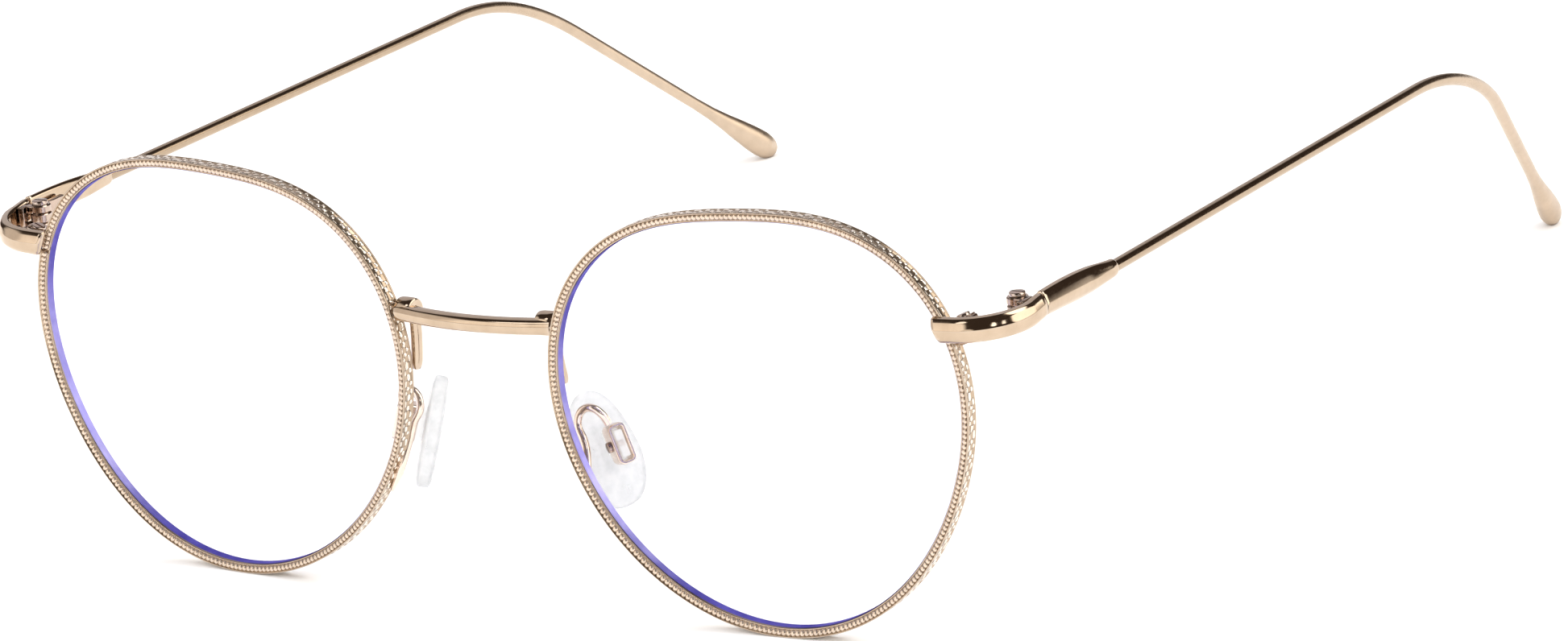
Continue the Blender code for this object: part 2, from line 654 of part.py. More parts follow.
def make_nose_pads(parents):
    """Soft pads on gooseneck arms. Each pad's stem rocks on a screw in an open box at the arm's end."""
    basis = pad_basis()
    box_at = PAD_CENTRE + basis.to_3x3() @ (PAD_BOX_SHIFT - Vector((0, PAD_BOX_STANDOFF, 0)))
    placed = Matrix.Translation(box_at) @ basis
    rockers = paired_empty("pad_pivot", parents, placed)
    across = Matrix.Rotation(math.radians(90), 4, "Y")
    turned = Matrix.Rotation(math.radians(90), 4, "X")

    half = PAD_BOX / 2
    room = half - Vector((PAD_BOX_WALL, -5 * MM, PAD_BOX_WALL))
    bore = moved(rod_mesh(PAD_BORE, 9 * MM, 16), across)
    box = cut(cut(box_mesh(-half, half, 0.25 * MM), box_mesh(-room, room)), bore.copy())
    pair("pad_box", box, "polished", parents, placed)

    def shape(bm):
        """A flat-sided egg that narrows towards its top."""
        bmesh.ops.create_uvsphere(bm, u_segments=24, v_segments=12, radius=0.5, matrix=turned)
        for vertex in bm.verts:
            x, y, z = vertex.co * 2
            plan = math.hypot(x, z)
            spread = (1 - abs(y) ** PAD_SQUARENESS) ** (1 / PAD_SQUARENESS) / plan if plan > 1e-6 else 0
            taper = 1 - PAD_TAPER * max(0.0, z * spread / 2 + 0.1)
            share = Vector((x * spread * taper, y, z * spread)) / 2
            vertex.co = Vector(a * b for a, b in zip(share, PAD_SIZE))

    pad_at = Vector((0, PAD_BOX_STANDOFF, 0)) - PAD_BOX_SHIFT
    stem_low = Vector((-PAD_STEM.x / 2, -PAD_STEM.y, -PAD_STEM.z / 2))
    stem_high = Vector((PAD_STEM.x / 2, PAD_BOX_STANDOFF - 0.6 * MM, PAD_STEM.z / 2))
    pad = joined(moved(mesh_from(shape), Matrix.Translation(pad_at)), box_mesh(stem_low, stem_high))
    pair("nose_pad", cut(pad, bore), "silicone", rockers)

    radius, head_radius, head = PAD_SCREW
    screw = slotted_screw(radius, -half.x - 0.12 * MM, half.x, head_radius, head, sides=16)
    pair("pad_screw", moved(screw, across.inverted()), "screw", parents, placed)

    route = [Vector(p) * MM for p in PAD_ARM_ROUTE]
    pair("pad_arm", wire_mesh(route, PAD_ARM_RADIUS, resolution=2), "polished", parents, smooth_angle=60)


def stand_on_ground(names):
    """Planes off what is below the ground, so that these pieces rest on small flats."""
    bpy.context.view_layer.update()
    size = 300 * MM
    ground = bpy.data.objects.new(
        "ground_cutter", box_mesh((-size, -size, -20 * MM), (size, size, 0))
    )
    CUTTERS.objects.link(ground)
    ground.hide_render = True
    ground.display_type = "WIRE"
    for name in names:
        modifier = bpy.data.objects[name].modifiers.new("stand", "BOOLEAN")
        modifier.operation = "DIFFERENCE"
        modifier.object = ground


clear_scene()
GLASSES = collection_named("eyeglasses")
CUTTERS = collection_named("cutters")
GUIDES = collection_named("guides")

front_frame = empty(
    "front",
    None,
    Matrix.Translation((0, -DEPTH_CENTRE, GROUND_SINK)) @ Matrix.Rotation(-LEAN, 4, "X"),
)
sides = {"right": front_frame, "left": front_frame}
lens_frame = Matrix.Translation((LENS_CENTRE_X, 0, 0)) @ Matrix.Rotation(FACE_WRAP, 4, "Z")
lens_planes = paired_empty("lens_plane", sides, lens_frame)
hinge_axes = paired_empty("hinge_axis", sides, Matrix.Translation(HINGE_AXIS))

make_rims(lens_planes)
make_lenses(lens_planes)
make_rim_locks(lens_planes)
make_bridge_feet(lens_planes)
make_bridge(front_frame)
make_end_pieces(sides)
make_hinges(sides, hinge_axes)
make_temple_shanks(hinge_axes)
make_temple_wires(hinge_axes)
make_nose_pads(sides)
stand_on_ground(["rim_right", "rim_left", "temple_wire_right", "temple_wire_left"])
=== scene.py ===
"""The looks of a pair of round metal eyeglasses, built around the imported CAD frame.

Lengths are in millimetres in the front's own frame: X to the right as seen from the front, Y towards the
wearer's ears, Z up, with the origin midway between the lenses. FRONT_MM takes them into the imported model's
frame, in metres. Each paired piece is drawn for the right side and mirrored for the left.
"""

import math

import bmesh
import bpy
from mathutils import Matrix, Vector


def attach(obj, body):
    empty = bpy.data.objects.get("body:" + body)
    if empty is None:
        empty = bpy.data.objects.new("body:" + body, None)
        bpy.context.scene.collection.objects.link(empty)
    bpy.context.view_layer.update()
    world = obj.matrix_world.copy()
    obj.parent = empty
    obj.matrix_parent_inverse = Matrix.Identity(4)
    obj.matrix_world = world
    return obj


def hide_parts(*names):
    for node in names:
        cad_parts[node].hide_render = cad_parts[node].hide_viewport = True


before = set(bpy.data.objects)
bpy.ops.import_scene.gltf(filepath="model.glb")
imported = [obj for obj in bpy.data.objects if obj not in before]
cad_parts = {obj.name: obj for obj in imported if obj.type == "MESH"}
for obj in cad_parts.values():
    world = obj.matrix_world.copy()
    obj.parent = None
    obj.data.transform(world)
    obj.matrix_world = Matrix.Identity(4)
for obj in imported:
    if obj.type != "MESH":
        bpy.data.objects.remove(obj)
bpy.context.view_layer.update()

MM = 0.001
TURN = 2 * math.pi

# The same driving dimensions as the CAD model.
FRONT = Matrix.Translation((0, -0.06976, 0.02675)) @ Matrix.Rotation(math.radians(-3.17), 4, "X")
FRONT_MM = FRONT @ Matrix.Diagonal((MM, MM, MM, 1))
LENS_CENTRE_X = 36.65
LENS_RADIUS = 24.9
LENS_WAVES = ((1, 0.57, -1.26), (2, 1.19, 0.19), (3, -0.18, 0.98), (4, -0.20, 0.07))
LENS_PLANE = (
    FRONT_MM @ Matrix.Translation((LENS_CENTRE_X, 0, 0)) @ Matrix.Rotation(math.radians(2.75), 4, "Z")
)
RIM_LOCK_ANGLE = math.radians(20.8)
RIM_SPLIT = 0.4
BRIDGE_HEIGHT = 7.1
BRIDGE_BOW = 1.5
BRIDGE_HALF = 10.45
BAR_X = 70.2
END_PIECE_Y = 0.25
END_PIECE_TURN = 6.3
JOINT_Y = 8.6
JOINT_GAP = 0.15
HINGE_AXIS = Vector((67.5, 8.0, 11.5))
KNUCKLE_RADIUS = 1.25
KNUCKLE_HEIGHTS = (0.90, 1.10, 0.90)
KNUCKLE_GAP = 0.08
WIRE_RADIUS = 0.73
WIRE_START = Vector((70.15, 9.9, 11.63))
WIRE_SPLAY = math.radians(1.2)
WIRE_RISE = math.radians(0.35)
WIRE_STRAIGHT = 83.5
EAR_BEND_RADIUS = 33.0
EAR_BEND_ANGLE = math.radians(41.7)
EAR_BEND_LEANS = (math.radians(-6), math.radians(11.5))
TIP_LENGTH = 36.5
PAD_CENTRE = Vector((12.0, 5.4, -8.9))
PAD_FLARE = math.radians(19)
PAD_SPLAY = math.radians(34)
PAD_SIZE = Vector((7.8, 2.1, 13.8))
PAD_BOX = Vector((2.2, 2.6, 4.8))
PAD_BOX_STANDOFF = 3.1
PAD_BOX_SHIFT = Vector((0.77, 0, 0.3))
PAD_ARM_ROUTE = (
    (12.16, 1.65, -8.1),
    (11.70, 1.95, -6.6),
    (10.95, 2.20, -5.3),
    (11.10, 2.45, -3.95),
    (12.00, 2.60, -3.15),
    (13.05, 2.70, -3.15),
    (13.85, 2.95, -3.80),
    (14.15, 3.30, -4.60),
    (14.25, 3.45, -5.05),
)

BEAD_LEAN = math.radians(19)
# The net material paints shade near black where this is low, and a paler plate where it is high.
RIDGE = "ridge"  # how high each point of the net stands, from 0 in a pit to 1 on a pebble

# Where the camera stands, in the front's frame, and which way it looks and leans.
CAMERA_PLACE = Vector((588.2, -774.8, 293.3))
CAMERA_FORWARD = Vector((-0.5521, 0.7832, -0.2859))
CAMERA_RIGHT = Vector((0.8299, 0.5494, -0.0976))
CAMERA_LENS = 207.8

# The studio's soft boxes: a direction, the angles in degrees at which each is full and gone, and its colour.
SOFT_BOXES = (
    ((-0.55, -0.80, 0.22), 24, 33, (1.55, 1.48, 1.40)),
    ((-0.90, -0.36, 0.34), 18, 30, (0.95, 0.90, 0.86)),
    ((0.90, 0.38, 0.30), 24, 30, (2.30, 2.20, 2.05)),
    ((-0.55, 0.62, 0.52), 20, 36, (0.70, 0.68, 0.72)),
    ((0.70, -0.62, 0.38), 3.5, 5.0, (2.6, 2.6, 2.6)),
    ((0.88, -0.36, 0.36), 2.5, 4.0, (2.4, 2.4, 2.4)),
    ((-0.32, -0.54, 0.78), 7, 9, (2.2, 2.2, 2.2)),
    ((0.45, 0.35, 0.82), 12, 18, (3.2, 3.05, 2.9)),
    ((0.0, -0.97, 0.10), 8, 14, (1.1, 1.06, 1.0)),
)

MIRROR = Matrix.Scale(-1, 4, (1, 0, 0))


# ---------------------------------------------------------------- materials


class Surface:
    """A material under construction: its nodes, its links and its Principled shader."""

    def __init__(self, name):
        self.material = bpy.data.materials.new(name)
        self.material.use_nodes = True
        self.tree = self.material.node_tree
        self.shader = self.tree.nodes["Principled BSDF"]
        self.output = self.tree.nodes["Material Output"]
        self.place = self.node("ShaderNodeTexCoord").outputs["Object"]

    def node(self, kind, **settings):
        """Adds a shader node of this kind, with these settings."""
        made = self.tree.nodes.new(kind)
        for name, value in settings.items():
            setattr(made, name, value)
        return made

    def link(self, start, end):
        """Joins an output socket to an input socket."""
        self.tree.links.new(start, end)

    def noise(self, size_mm, detail=3.0, roughness=0.55):
        """A noise of about this feature size."""
        noise = self.node("ShaderNodeTexNoise")
        noise.inputs["Scale"].default_value = 1 / (size_mm * MM)
        noise.inputs["Detail"].default_value = detail
        noise.inputs["Roughness"].default_value = roughness
        self.link(self.place, noise.inputs["Vector"])
        return noise.outputs["Fac"]

    def spread(self, value, low, high, start=0.3, end=0.7):
        """Maps a value from start..end onto low..high, clamped."""
        mapped = self.node("ShaderNodeMapRange")
        mapped.inputs["From Min"].default_value = start
        mapped.inputs["From Max"].default_value = end
        mapped.inputs["To Min"].default_value = low
        mapped.inputs["To Max"].default_value = high
        self.link(value, mapped.inputs["Value"])
        return mapped.outputs["Result"]

    def blend(self, factor, first, second):
        """A colour between two colours, or two colour sockets."""
        mix = self.node("ShaderNodeMix", data_type="RGBA")
        self.link(factor, mix.inputs["Factor"])
        for socket, colour in ((mix.inputs[6], first), (mix.inputs[7], second)):
            if isinstance(colour, tuple):
                socket.default_value = (*colour, 1)
            else:
                self.link(colour, socket)
        return mix.outputs[2]

    def bump(self, height, depth_mm, strength=1.0):
        """Roughens the shader's normal by this height, up to this depth."""
        bump = self.node("ShaderNodeBump")
        bump.inputs["Distance"].default_value = depth_mm * MM
        bump.inputs["Strength"].default_value = strength
        self.link(height, bump.inputs["Height"])
        self.link(bump.outputs["Normal"], self.shader.inputs["Normal"])


def plated_metal(name, light, deep, roughness, metallic=1.0, wear=0.25):
    """Rose-gold plate: clouded colour, brighter worn edges, fine grain and uneven gloss."""
    s = Surface(name)
    cloud = s.noise(2.4, detail=4)
    colour = s.blend(s.spread(cloud, 0, 1), deep, light)
    edges = s.node("ShaderNodeNewGeometry").outputs["Pointiness"]
    worn = s.spread(edges, 0, wear, 0.51, 0.58)
    pale = tuple(min(1.0, 0.5 * channel + 0.5) for channel in light)
    s.link(s.blend(worn, colour, pale), s.shader.inputs["Base Color"])
    s.shader.inputs["Metallic"].default_value = metallic
    smear = s.noise(0.7, detail=6, roughness=0.6)
    s.link(s.spread(smear, roughness[0], roughness[1]), s.shader.inputs["Roughness"])
    s.bump(s.noise(0.12, detail=5, roughness=0.7), 0.004, 0.35)
    return s


def make_materials():
    """Every material by its short name. Each plate has a light and a deep colour."""
    polished = ((0.60, 0.470, 0.345), (0.51, 0.390, 0.280))
    rim = ((0.51, 0.395, 0.285), (0.43, 0.325, 0.23))
    bead = ((0.74, 0.585, 0.44), (0.58, 0.445, 0.325))
    arm = ((0.93, 0.79, 0.68), (0.80, 0.65, 0.55))
    hinge = ((0.58, 0.44, 0.35), (0.44, 0.32, 0.25))
    skin_colours = ((0.68, 0.70, 0.72), (0.48, 0.50, 0.52))
    core_colours = ((0.95, 0.95, 0.95), (0.84, 0.85, 0.86))
    return {
        "polished": plated_metal("rose_gold_polished", *polished, (0.05, 0.11)).material,
        "rim": plated_metal("rose_gold_rim", *rim, (0.12, 0.22), metallic=0.9).material,
        "beads": plated_metal("rose_gold_beads", *bead, (0.10, 0.20), metallic=0.78).material,
        "arm": plated_metal("rose_gold_arm", *arm, (0.07, 0.14), metallic=0.85).material,
        "hinge": plated_metal("rose_gold_hinge", *hinge, (0.10, 0.22)).material,
        "net": net_material(),
        "wire": wire_material(),
        "screw": screw_material(),
        "silicone": silicone_material("clear_silicone", *skin_colours, least=0.40, most=0.85, painted_glow=0.02),
        "core": silicone_material("clear_silicone_core", *core_colours, least=0.40, most=0.75, painted_glow=0.22),
        "lens": lens_material(),
        "lens_edge": lens_edge_material(),
    }


def net_material():
    """The engraved side of the eyewire: painted light, with the pebbles paler than the rest of the plate, and
    painted shade, near black, in the pits.
    """
    light, deep, painted_pit_shade = (1.0, 0.93, 0.84), (0.84, 0.71, 0.58), (0.008, 0.005, 0.004)
    s = plated_metal("rose_gold_net", light, deep, (0.07, 0.16), metallic=0.80, wear=0.1)
    height = s.node("ShaderNodeAttribute", attribute_name=RIDGE).outputs["Fac"]
    plating = s.shader.inputs["Base Color"].links[0].from_socket
    # Painted shade and light: near black where the net is low, the paler plate where it stands high.
    colour = s.blend(s.spread(height, 0, 1, 0.50, 0.60), painted_pit_shade, plating)
    s.link(colour, s.shader.inputs["Base Color"])
    return s.material


def wire_material():
    """Plated wire, bright and darker along its straight part, satin and paler round the ear bend and tip."""
    s = plated_metal("rose_gold_wire", (0.60, 0.475, 0.355), (0.52, 0.41, 0.305), (0.10, 0.17), wear=0.15)
    along = s.node("ShaderNodeSeparateXYZ")
    s.link(s.place, along.inputs["Vector"])
    satin = s.spread(along.outputs["Y"], 0, 1, 0.016, 0.046)
    uneven = s.spread(s.noise(0.5, detail=5), 0.30, 0.40)
    gloss = s.shader.inputs["Roughness"].links[0].from_socket
    between = s.node("ShaderNodeMix", data_type="FLOAT")
    s.link(satin, between.inputs["Factor"])
    s.link(gloss, between.inputs[2])
    s.link(uneven, between.inputs[3])
    s.link(between.outputs[0], s.shader.inputs["Roughness"])
    plating = s.shader.inputs["Base Color"].links[0].from_socket
    straight = s.blend(s.noise(1.6, detail=4), (0.38, 0.285, 0.195), (0.50, 0.385, 0.275))
    s.link(s.blend(satin, straight, plating), s.shader.inputs["Base Color"])
    return s.material


def screw_material():
    """Turned steel, with fine lathe rings."""
    s = plated_metal("turned_steel", (0.58, 0.44, 0.36), (0.40, 0.29, 0.23), (0.12, 0.24), wear=0.4)
    rings = s.node("ShaderNodeTexWave", wave_type="BANDS", bands_direction="Z")
    rings.inputs["Scale"].default_value = 3000
    rings.inputs["Distortion"].default_value = 0.4
    s.link(s.place, rings.inputs["Vector"])
    s.bump(rings.outputs["Fac"], 0.006, 0.4)
    return s.material


def silicone_material(name, pale, shade, least, most, painted_glow):
    """Clear moulded silicone. It covers least face on, and most where it is seen along its skin.

    The glow is painted light: a white emission that stands for the light that comes through the silicone.
    """
    s = Surface(name)
    haze = s.noise(1.8, detail=3)
    s.link(s.blend(s.spread(haze, 0, 1), shade, pale), s.shader.inputs["Base Color"])
    s.shader.inputs["IOR"].default_value = 1.40
    s.shader.inputs["Emission Color"].default_value = (1, 1, 1, 1)
    # Painted light: a faint white glow, strongest on the core.
    s.shader.inputs["Emission Strength"].default_value = painted_glow
    s.link(s.spread(s.noise(0.6, detail=4), 0.12, 0.26), s.shader.inputs["Roughness"])
    s.bump(s.noise(0.5, detail=3), 0.003, 0.2)
    edge = s.node("ShaderNodeLayerWeight")
    edge.inputs["Blend"].default_value = 0.35
    s.link(s.spread(edge.outputs["Facing"], least, most, 0.15, 0.85), s.shader.inputs["Alpha"])
    return s.material


def lens_material():
    """A coated clear lens: light goes straight through, and it reflects blue-violet, most when seen aslant."""
    s = Surface("coated_lens")
    s.tree.nodes.remove(s.shader)
    clear = s.node("ShaderNodeBsdfTransparent")
    cloud = s.spread(s.noise(9, detail=2), 0, 1)
    s.link(s.blend(cloud, (0.985, 0.988, 0.995), (0.995, 0.995, 1.0)), clear.inputs["Color"])
    sheen = s.node("ShaderNodeBsdfGlossy")
    coat = s.spread(s.noise(14, detail=2), 0, 1)
    s.link(s.blend(coat, (0.45, 0.42, 0.95), (0.55, 0.65, 1.0)), sheen.inputs["Color"])
    s.link(s.spread(s.noise(1.2, detail=5), 0.015, 0.04), sheen.inputs["Roughness"])
    facing = s.node("ShaderNodeLayerWeight")
    facing.inputs["Blend"].default_value = 0.12
    share = s.spread(facing.outputs["Fresnel"], 0.0, 0.35, 0.02, 1.0)
    both = s.node("ShaderNodeMixShader")
    s.link(share, both.inputs["Fac"])
    s.link(clear.outputs[0], both.inputs[1])
    s.link(sheen.outputs[0], both.inputs[2])
    s.link(both.outputs[0], s.output.inputs["Surface"])
    return s.material


def lens_edge_material():
    """The ground edge of the lens, with the coating's violet painted on as a painted reflection: darker at the
    top and the foot, and palest below the middle.
    """
    s = Surface("violet_lens_edge_painted_reflection")
    height = s.node("ShaderNodeSeparateXYZ")
    s.link(s.place, height.inputs["Vector"])
    rise = s.spread(height.outputs["Z"], 0, 1, 0.016, 0.036)
    low = s.spread(height.outputs["Z"], 1, 0, 0.004, 0.016)
    mottle = s.spread(s.noise(3.5, detail=4), 0, 1, 0.35, 0.65)
    # Painted reflection: dark violet at the top and foot, pale violet in a band below the middle.
    top = s.blend(mottle, (0.085, 0.065, 0.38), (0.15, 0.12, 0.52))
    middle = s.blend(mottle, (0.42, 0.38, 0.80), (0.64, 0.59, 0.92))
    foot = s.blend(mottle, (0.045, 0.035, 0.26), (0.09, 0.075, 0.38))
    s.link(s.blend(low, s.blend(rise, middle, top), foot), s.shader.inputs["Base Color"])
    s.link(s.spread(s.noise(0.3, detail=4), 0.35, 0.55), s.shader.inputs["Roughness"])
    s.bump(s.noise(0.08, detail=3), 0.01, 0.4)
    return s.material


# ---------------------------------------------------------------- mesh helpers


def mesh_of(points, faces, transform=None):
    """A mesh with its faces turned outwards. Points are in millimetres until the transform."""
    mesh = bpy.data.meshes.new("mesh")
    mesh.from_pydata([tuple(p) for p in points], [], faces)
    bm = bmesh.new()
    bm.from_mesh(mesh)
    bmesh.ops.recalc_face_normals(bm, faces=bm.faces)
    bm.to_mesh(mesh)
    bm.free()
    if transform:
        mesh.transform(transform)
    return mesh


def skin(rings):
    """Points and faces of a closed skin over these rings of points, with flat ends."""
    count = len(rings[0])
    points = [point for ring in rings for point in ring]
    faces = []
    for i in range(len(rings) - 1):
        low = i * count
        for j in range(count):
            k = (j + 1) % count
            faces.append((low + j, low + k, low + count + k, low + count + j))
    faces.append(tuple(range(count)))
    faces.append(tuple(range(len(points) - count, len(points))))
    return points, faces


def together(*parts):
    """Several (points, faces) as one."""
    points, faces = [], []
    for more_points, more_faces in parts:
        start = len(points)
        points += more_points
        faces += [tuple(start + i for i in face) for face in more_faces]
    return points, faces


def moved(part, matrix):
    """The part's points moved by this matrix, with the same faces."""
    points, faces = part
    return [matrix @ Vector(p) for p in points], faces


def softened(section, share):
    """A closed outline with its corners cut by this share of each side, and then cut again."""
    for cut_share in (share, 0.25):
        cut = []
        for i, here in enumerate(section):
            after = section[(i + 1) % len(section)]
            for t in (cut_share, 1 - cut_share):
                cut.append((here[0] + (after[0] - here[0]) * t, here[1] + (after[1] - here[1]) * t))
        section = cut
    return section


def circle(radius, count):
    """The flat points of a circle, from the first axis round."""
    return [(radius * math.cos(TURN * i / count), radius * math.sin(TURN * i / count)) for i in range(count)]


def smooth_route(points, per_span=6):
    """More points on a smooth curve through these (Catmull-Rom)."""
    points = [Vector(p) for p in points]
    ends = [2 * points[0] - points[1], *points, 2 * points[-1] - points[-2]]
    route = []
    for i in range(len(points) - 1):
        a, b, c, d = ends[i : i + 4]
        for step in range(per_span):
            t = step / per_span
            square, cube = (2 * a - 5 * b + 4 * c - d) * t**2, (3 * b - a - 3 * c + d) * t**3
            route.append(0.5 * (2 * b + (c - a) * t + square + cube))
    return [*route, points[-1]]


def bar_rings(route, sections, reference=Vector((0, 0, 1))):
    """A ring at each point of the route.

    A section's X is at right angles to the route and the reference direction, and its Y nearest the reference.
    """
    rings = []
    for i, point in enumerate(route):
        ahead = (route[min(i + 1, len(route) - 1)] - route[max(i - 1, 0)]).normalized()
        side = ahead.cross(reference).normalized()
        up = side.cross(ahead)
        rings.append([point + side * x + up * y for x, y in sections[i]])
    return rings


def shrunk(ring, share):
    """A smaller copy of a ring, about its own middle."""
    middle = sum(ring, Vector()) / len(ring)
    return [middle + (point - middle) * share for point in ring]


def wire_rings(route, radii):
    """Rings of a round wire, turned with the route so that they never twist."""
    rings = []
    side = None
    for i, point in enumerate(route):
        ahead = (route[min(i + 1, len(route) - 1)] - route[max(i - 1, 0)]).normalized()
        if side is None:
            side = ahead.orthogonal()
        side = (side - ahead * side.dot(ahead)).normalized()
        up = ahead.cross(side)
        rings.append([point + side * x + up * y for x, y in circle(radii[i], 20)])
    return rings


def block(low, high, bevel, segments=3):
    """A box with rounded edges, as (points, faces)."""
    bm = bmesh.new()
    bmesh.ops.create_cube(bm, size=1)
    size = Vector(high) - Vector(low)
    middle = (Vector(high) + Vector(low)) / 2
    bmesh.ops.transform(bm, matrix=Matrix.Translation(middle) @ Matrix.Diagonal((*size, 1)), verts=bm.verts)
    bmesh.ops.bevel(bm, geom=bm.edges, offset=bevel, segments=segments, profile=0.5, affect="EDGES")
    return harvested(bm)


def harvested(bm):
    """A bmesh as (points, faces), which frees it."""
    bm.verts.index_update()
    part = [v.co.copy() for v in bm.verts], [tuple(v.index for v in f.verts) for f in bm.faces]
    bm.free()
    return part


def turned(profile, count=40):
    """A solid turned about Z from (radius, height) pairs, from the bottom up."""
    return skin([[Vector((x, y, height)) for x, y in circle(radius, count)] for radius, height in profile])


def screw_part(head_radius, head_height, shaft_radius, shaft_length, slot_width=0.22, slot_depth=0.18):
    """A slotted screw on Z, its head on top, with the head's underside at 0."""
    edge = head_height * 0.28
    bm = bmesh.new()
    points, faces = turned(
        [
            (head_radius, 0),
            (head_radius, head_height - edge),
            (head_radius * 0.94, head_height - edge * 0.35),
            (head_radius * 0.80, head_height),
        ]
    )
    made = [bm.verts.new(p) for p in points]
    for face in faces:
        bm.faces.new([made[i] for i in face])
    bm.normal_update()
    half = slot_width / 2
    for offset in (half, -half):
        geometry = bm.verts[:] + bm.edges[:] + bm.faces[:]
        bmesh.ops.bisect_plane(bm, geom=geometry, plane_co=(0, offset, 0), plane_no=(0, 1, 0))
    top = [f for f in bm.faces if f.normal.z > 0.9 and abs(f.calc_center_median().y) < half]
    for face in top:
        sunk = bmesh.ops.extrude_discrete_faces(bm, faces=[face])["faces"]
        for vertex in {v for f in sunk for v in f.verts}:
            vertex.co.z -= slot_depth
    head = harvested(bm)
    tip = (shaft_radius * 0.8, -shaft_length)
    shaft = turned([tip, (shaft_radius, 0.12 - shaft_length), (shaft_radius, 0.02)], 24)
    return together(head, shaft)


# ---------------------------------------------------------------- pieces


def add_piece(name, mesh, material, body, replaced, sharp=40):
    """Adds a piece that rides on a body and stands for these CAD nodes.

    Edges that turn by more than sharp degrees stay crisp.
    """
    mesh.shade_smooth()
    mesh.set_sharp_from_angle(angle=math.radians(sharp))
    for one in material if isinstance(material, (list, tuple)) else [material]:
        mesh.materials.append(one)
    piece = bpy.data.objects.new(name, mesh)
    bpy.context.scene.collection.objects.link(piece)
    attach(piece, body)
    if replaced:
        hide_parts(*replaced)


def on_ground(mesh):
    """Flattens what would be below the ground, as the CAD model does."""
    for vertex in mesh.vertices:
        vertex.co.z = max(vertex.co.z, 0.0)


def add_pair(name, mesh, material, body, nodes, sharp=40):
    """The right piece as drawn and the left one mirrored.

    Each node ends in _ and takes the side's name, as a body that ends in _ does.
    """
    other = mesh.copy()
    other.transform(MIRROR)
    other.flip_normals()
    for side, data in (("right", mesh), ("left", other)):
        ridden = body + side if body.endswith("_") else body
        replaced = [node + side for node in nodes]
        add_piece(name + "_" + side, data, material, ridden, replaced, sharp)


def opening_radius(angle):
    """How far the lens opening's edge is from its centre, at this angle."""
    waves = sum(c * math.cos(n * angle) + s * math.sin(n * angle) for n, c, s in LENS_WAVES)
    return LENS_RADIUS + waves


def outline(angle):
    """The lens opening's edge at this angle, and the direction outwards from it, both in the lens's plane."""
    radius = opening_radius(angle)
    step = 1e-4
    slope = (opening_radius(angle + step) - opening_radius(angle - step)) / (2 * step)
    across, up = math.cos(angle), math.sin(angle)
    along = Vector((slope * across - radius * up, 0, slope * up + radius * across)).normalized()
    return Vector((radius * across, 0, radius * up)), Vector((along.z, 0, -along.x))


def even_angles(spacing, offset):
    """Angles round the eyewire from one side of its split to the other, with the distance run at each.

    They are evenly spaced, about this far apart, on a line this far outside the lens opening.
    """
    start = RIM_LOCK_ANGLE + RIM_SPLIT / 2 / LENS_RADIUS
    end = start + TURN - RIM_SPLIT / LENS_RADIUS
    fine = 3000
    angles = [start + (end - start) * i / fine for i in range(fine + 1)]
    spots = [p + n * offset for p, n in map(outline, angles)]
    run = [0.0]
    for a, b in zip(spots, spots[1:]):
        run.append(run[-1] + (b - a).length)
    count = max(2, round(run[-1] / spacing))
    found = []
    i = 0
    for k in range(count + 1):
        target = run[-1] * k / count
        while i < fine - 1 and run[i + 1] < target:
            i += 1
        share = (target - run[i]) / (run[i + 1] - run[i])
        found.append((angles[i] + (angles[i + 1] - angles[i]) * share, target))
    return found


def rim_section():
    """(outwards, back) round the eyewire: a leaning front between two rails, a side, a back and a groove."""
    return [
        (0.01, 0.44), (0.03, 0.37), (0.07, 0.33), (0.13, 0.32), (0.17, 0.35), (0.22, 0.40), (0.53, 0.30),
        (0.83, 0.20), (0.87, 0.14), (0.90, 0.08), (0.95, 0.04), (1.00, 0.03), (1.04, 0.07), (1.06, 0.16),
        (1.05, 0.28), (1.00, 0.36), (0.97, 0.42), (0.97, 1.60), (1.01, 1.65), (1.05, 1.72), (1.05, 1.83),
        (1.00, 1.93), (0.88, 1.98), (0.62, 1.99), (0.46, 1.94), (0.38, 1.82), (0.36, 1.60), (0.44, 1.20),
        (0.45, 1.00), (0.32, 0.74), (0.12, 0.54), (0.03, 0.48),
    ]


def make_rims(materials):
    section = rim_section()
    rings = []
    for angle, _ in even_angles(0.42, 0.5):
        point, out = outline(angle)
        rings.append([point + out * r + Vector((0, y, 0)) for r, y in section])
    mesh = mesh_of(*skin(rings), LENS_PLANE)
    on_ground(mesh)
    add_pair("eyewire", mesh, materials["rim"], "front", ["rim_"], sharp=60)
    make_beads(materials)
    make_net(materials)


def make_beads(materials):
    """The milled bead row in the eyewire's front channel, one grain to each step."""
    pitch = 0.60
    bm = bmesh.new()
    bmesh.ops.create_icosphere(bm, subdivisions=2, radius=1)
    bead = harvested(bm)
    parts = []
    spots = even_angles(pitch, 0.5)
    for (angle, here), (_, after) in zip(spots, spots[1:]):
        step = (after - here) / 2
        point, out = outline(angle + step / LENS_RADIUS)
        along = Vector((out.z, 0, -out.x))
        centre = point + out * 0.53 + Vector((0, 0.29, 0))
        across = out * math.cos(BEAD_LEAN) - Vector((0, math.sin(BEAD_LEAN), 0))
        facing = along.cross(across)
        shape = Matrix((along * pitch * 0.58, facing * 0.23, across * 0.37)).transposed().to_4x4()
        parts.append(moved(bead, Matrix.Translation(centre) @ shape))
    mesh = mesh_of(*together(*parts), LENS_PLANE)
    on_ground(mesh)
    add_pair("bead_row", mesh, materials["beads"], "front", [], sharp=80)


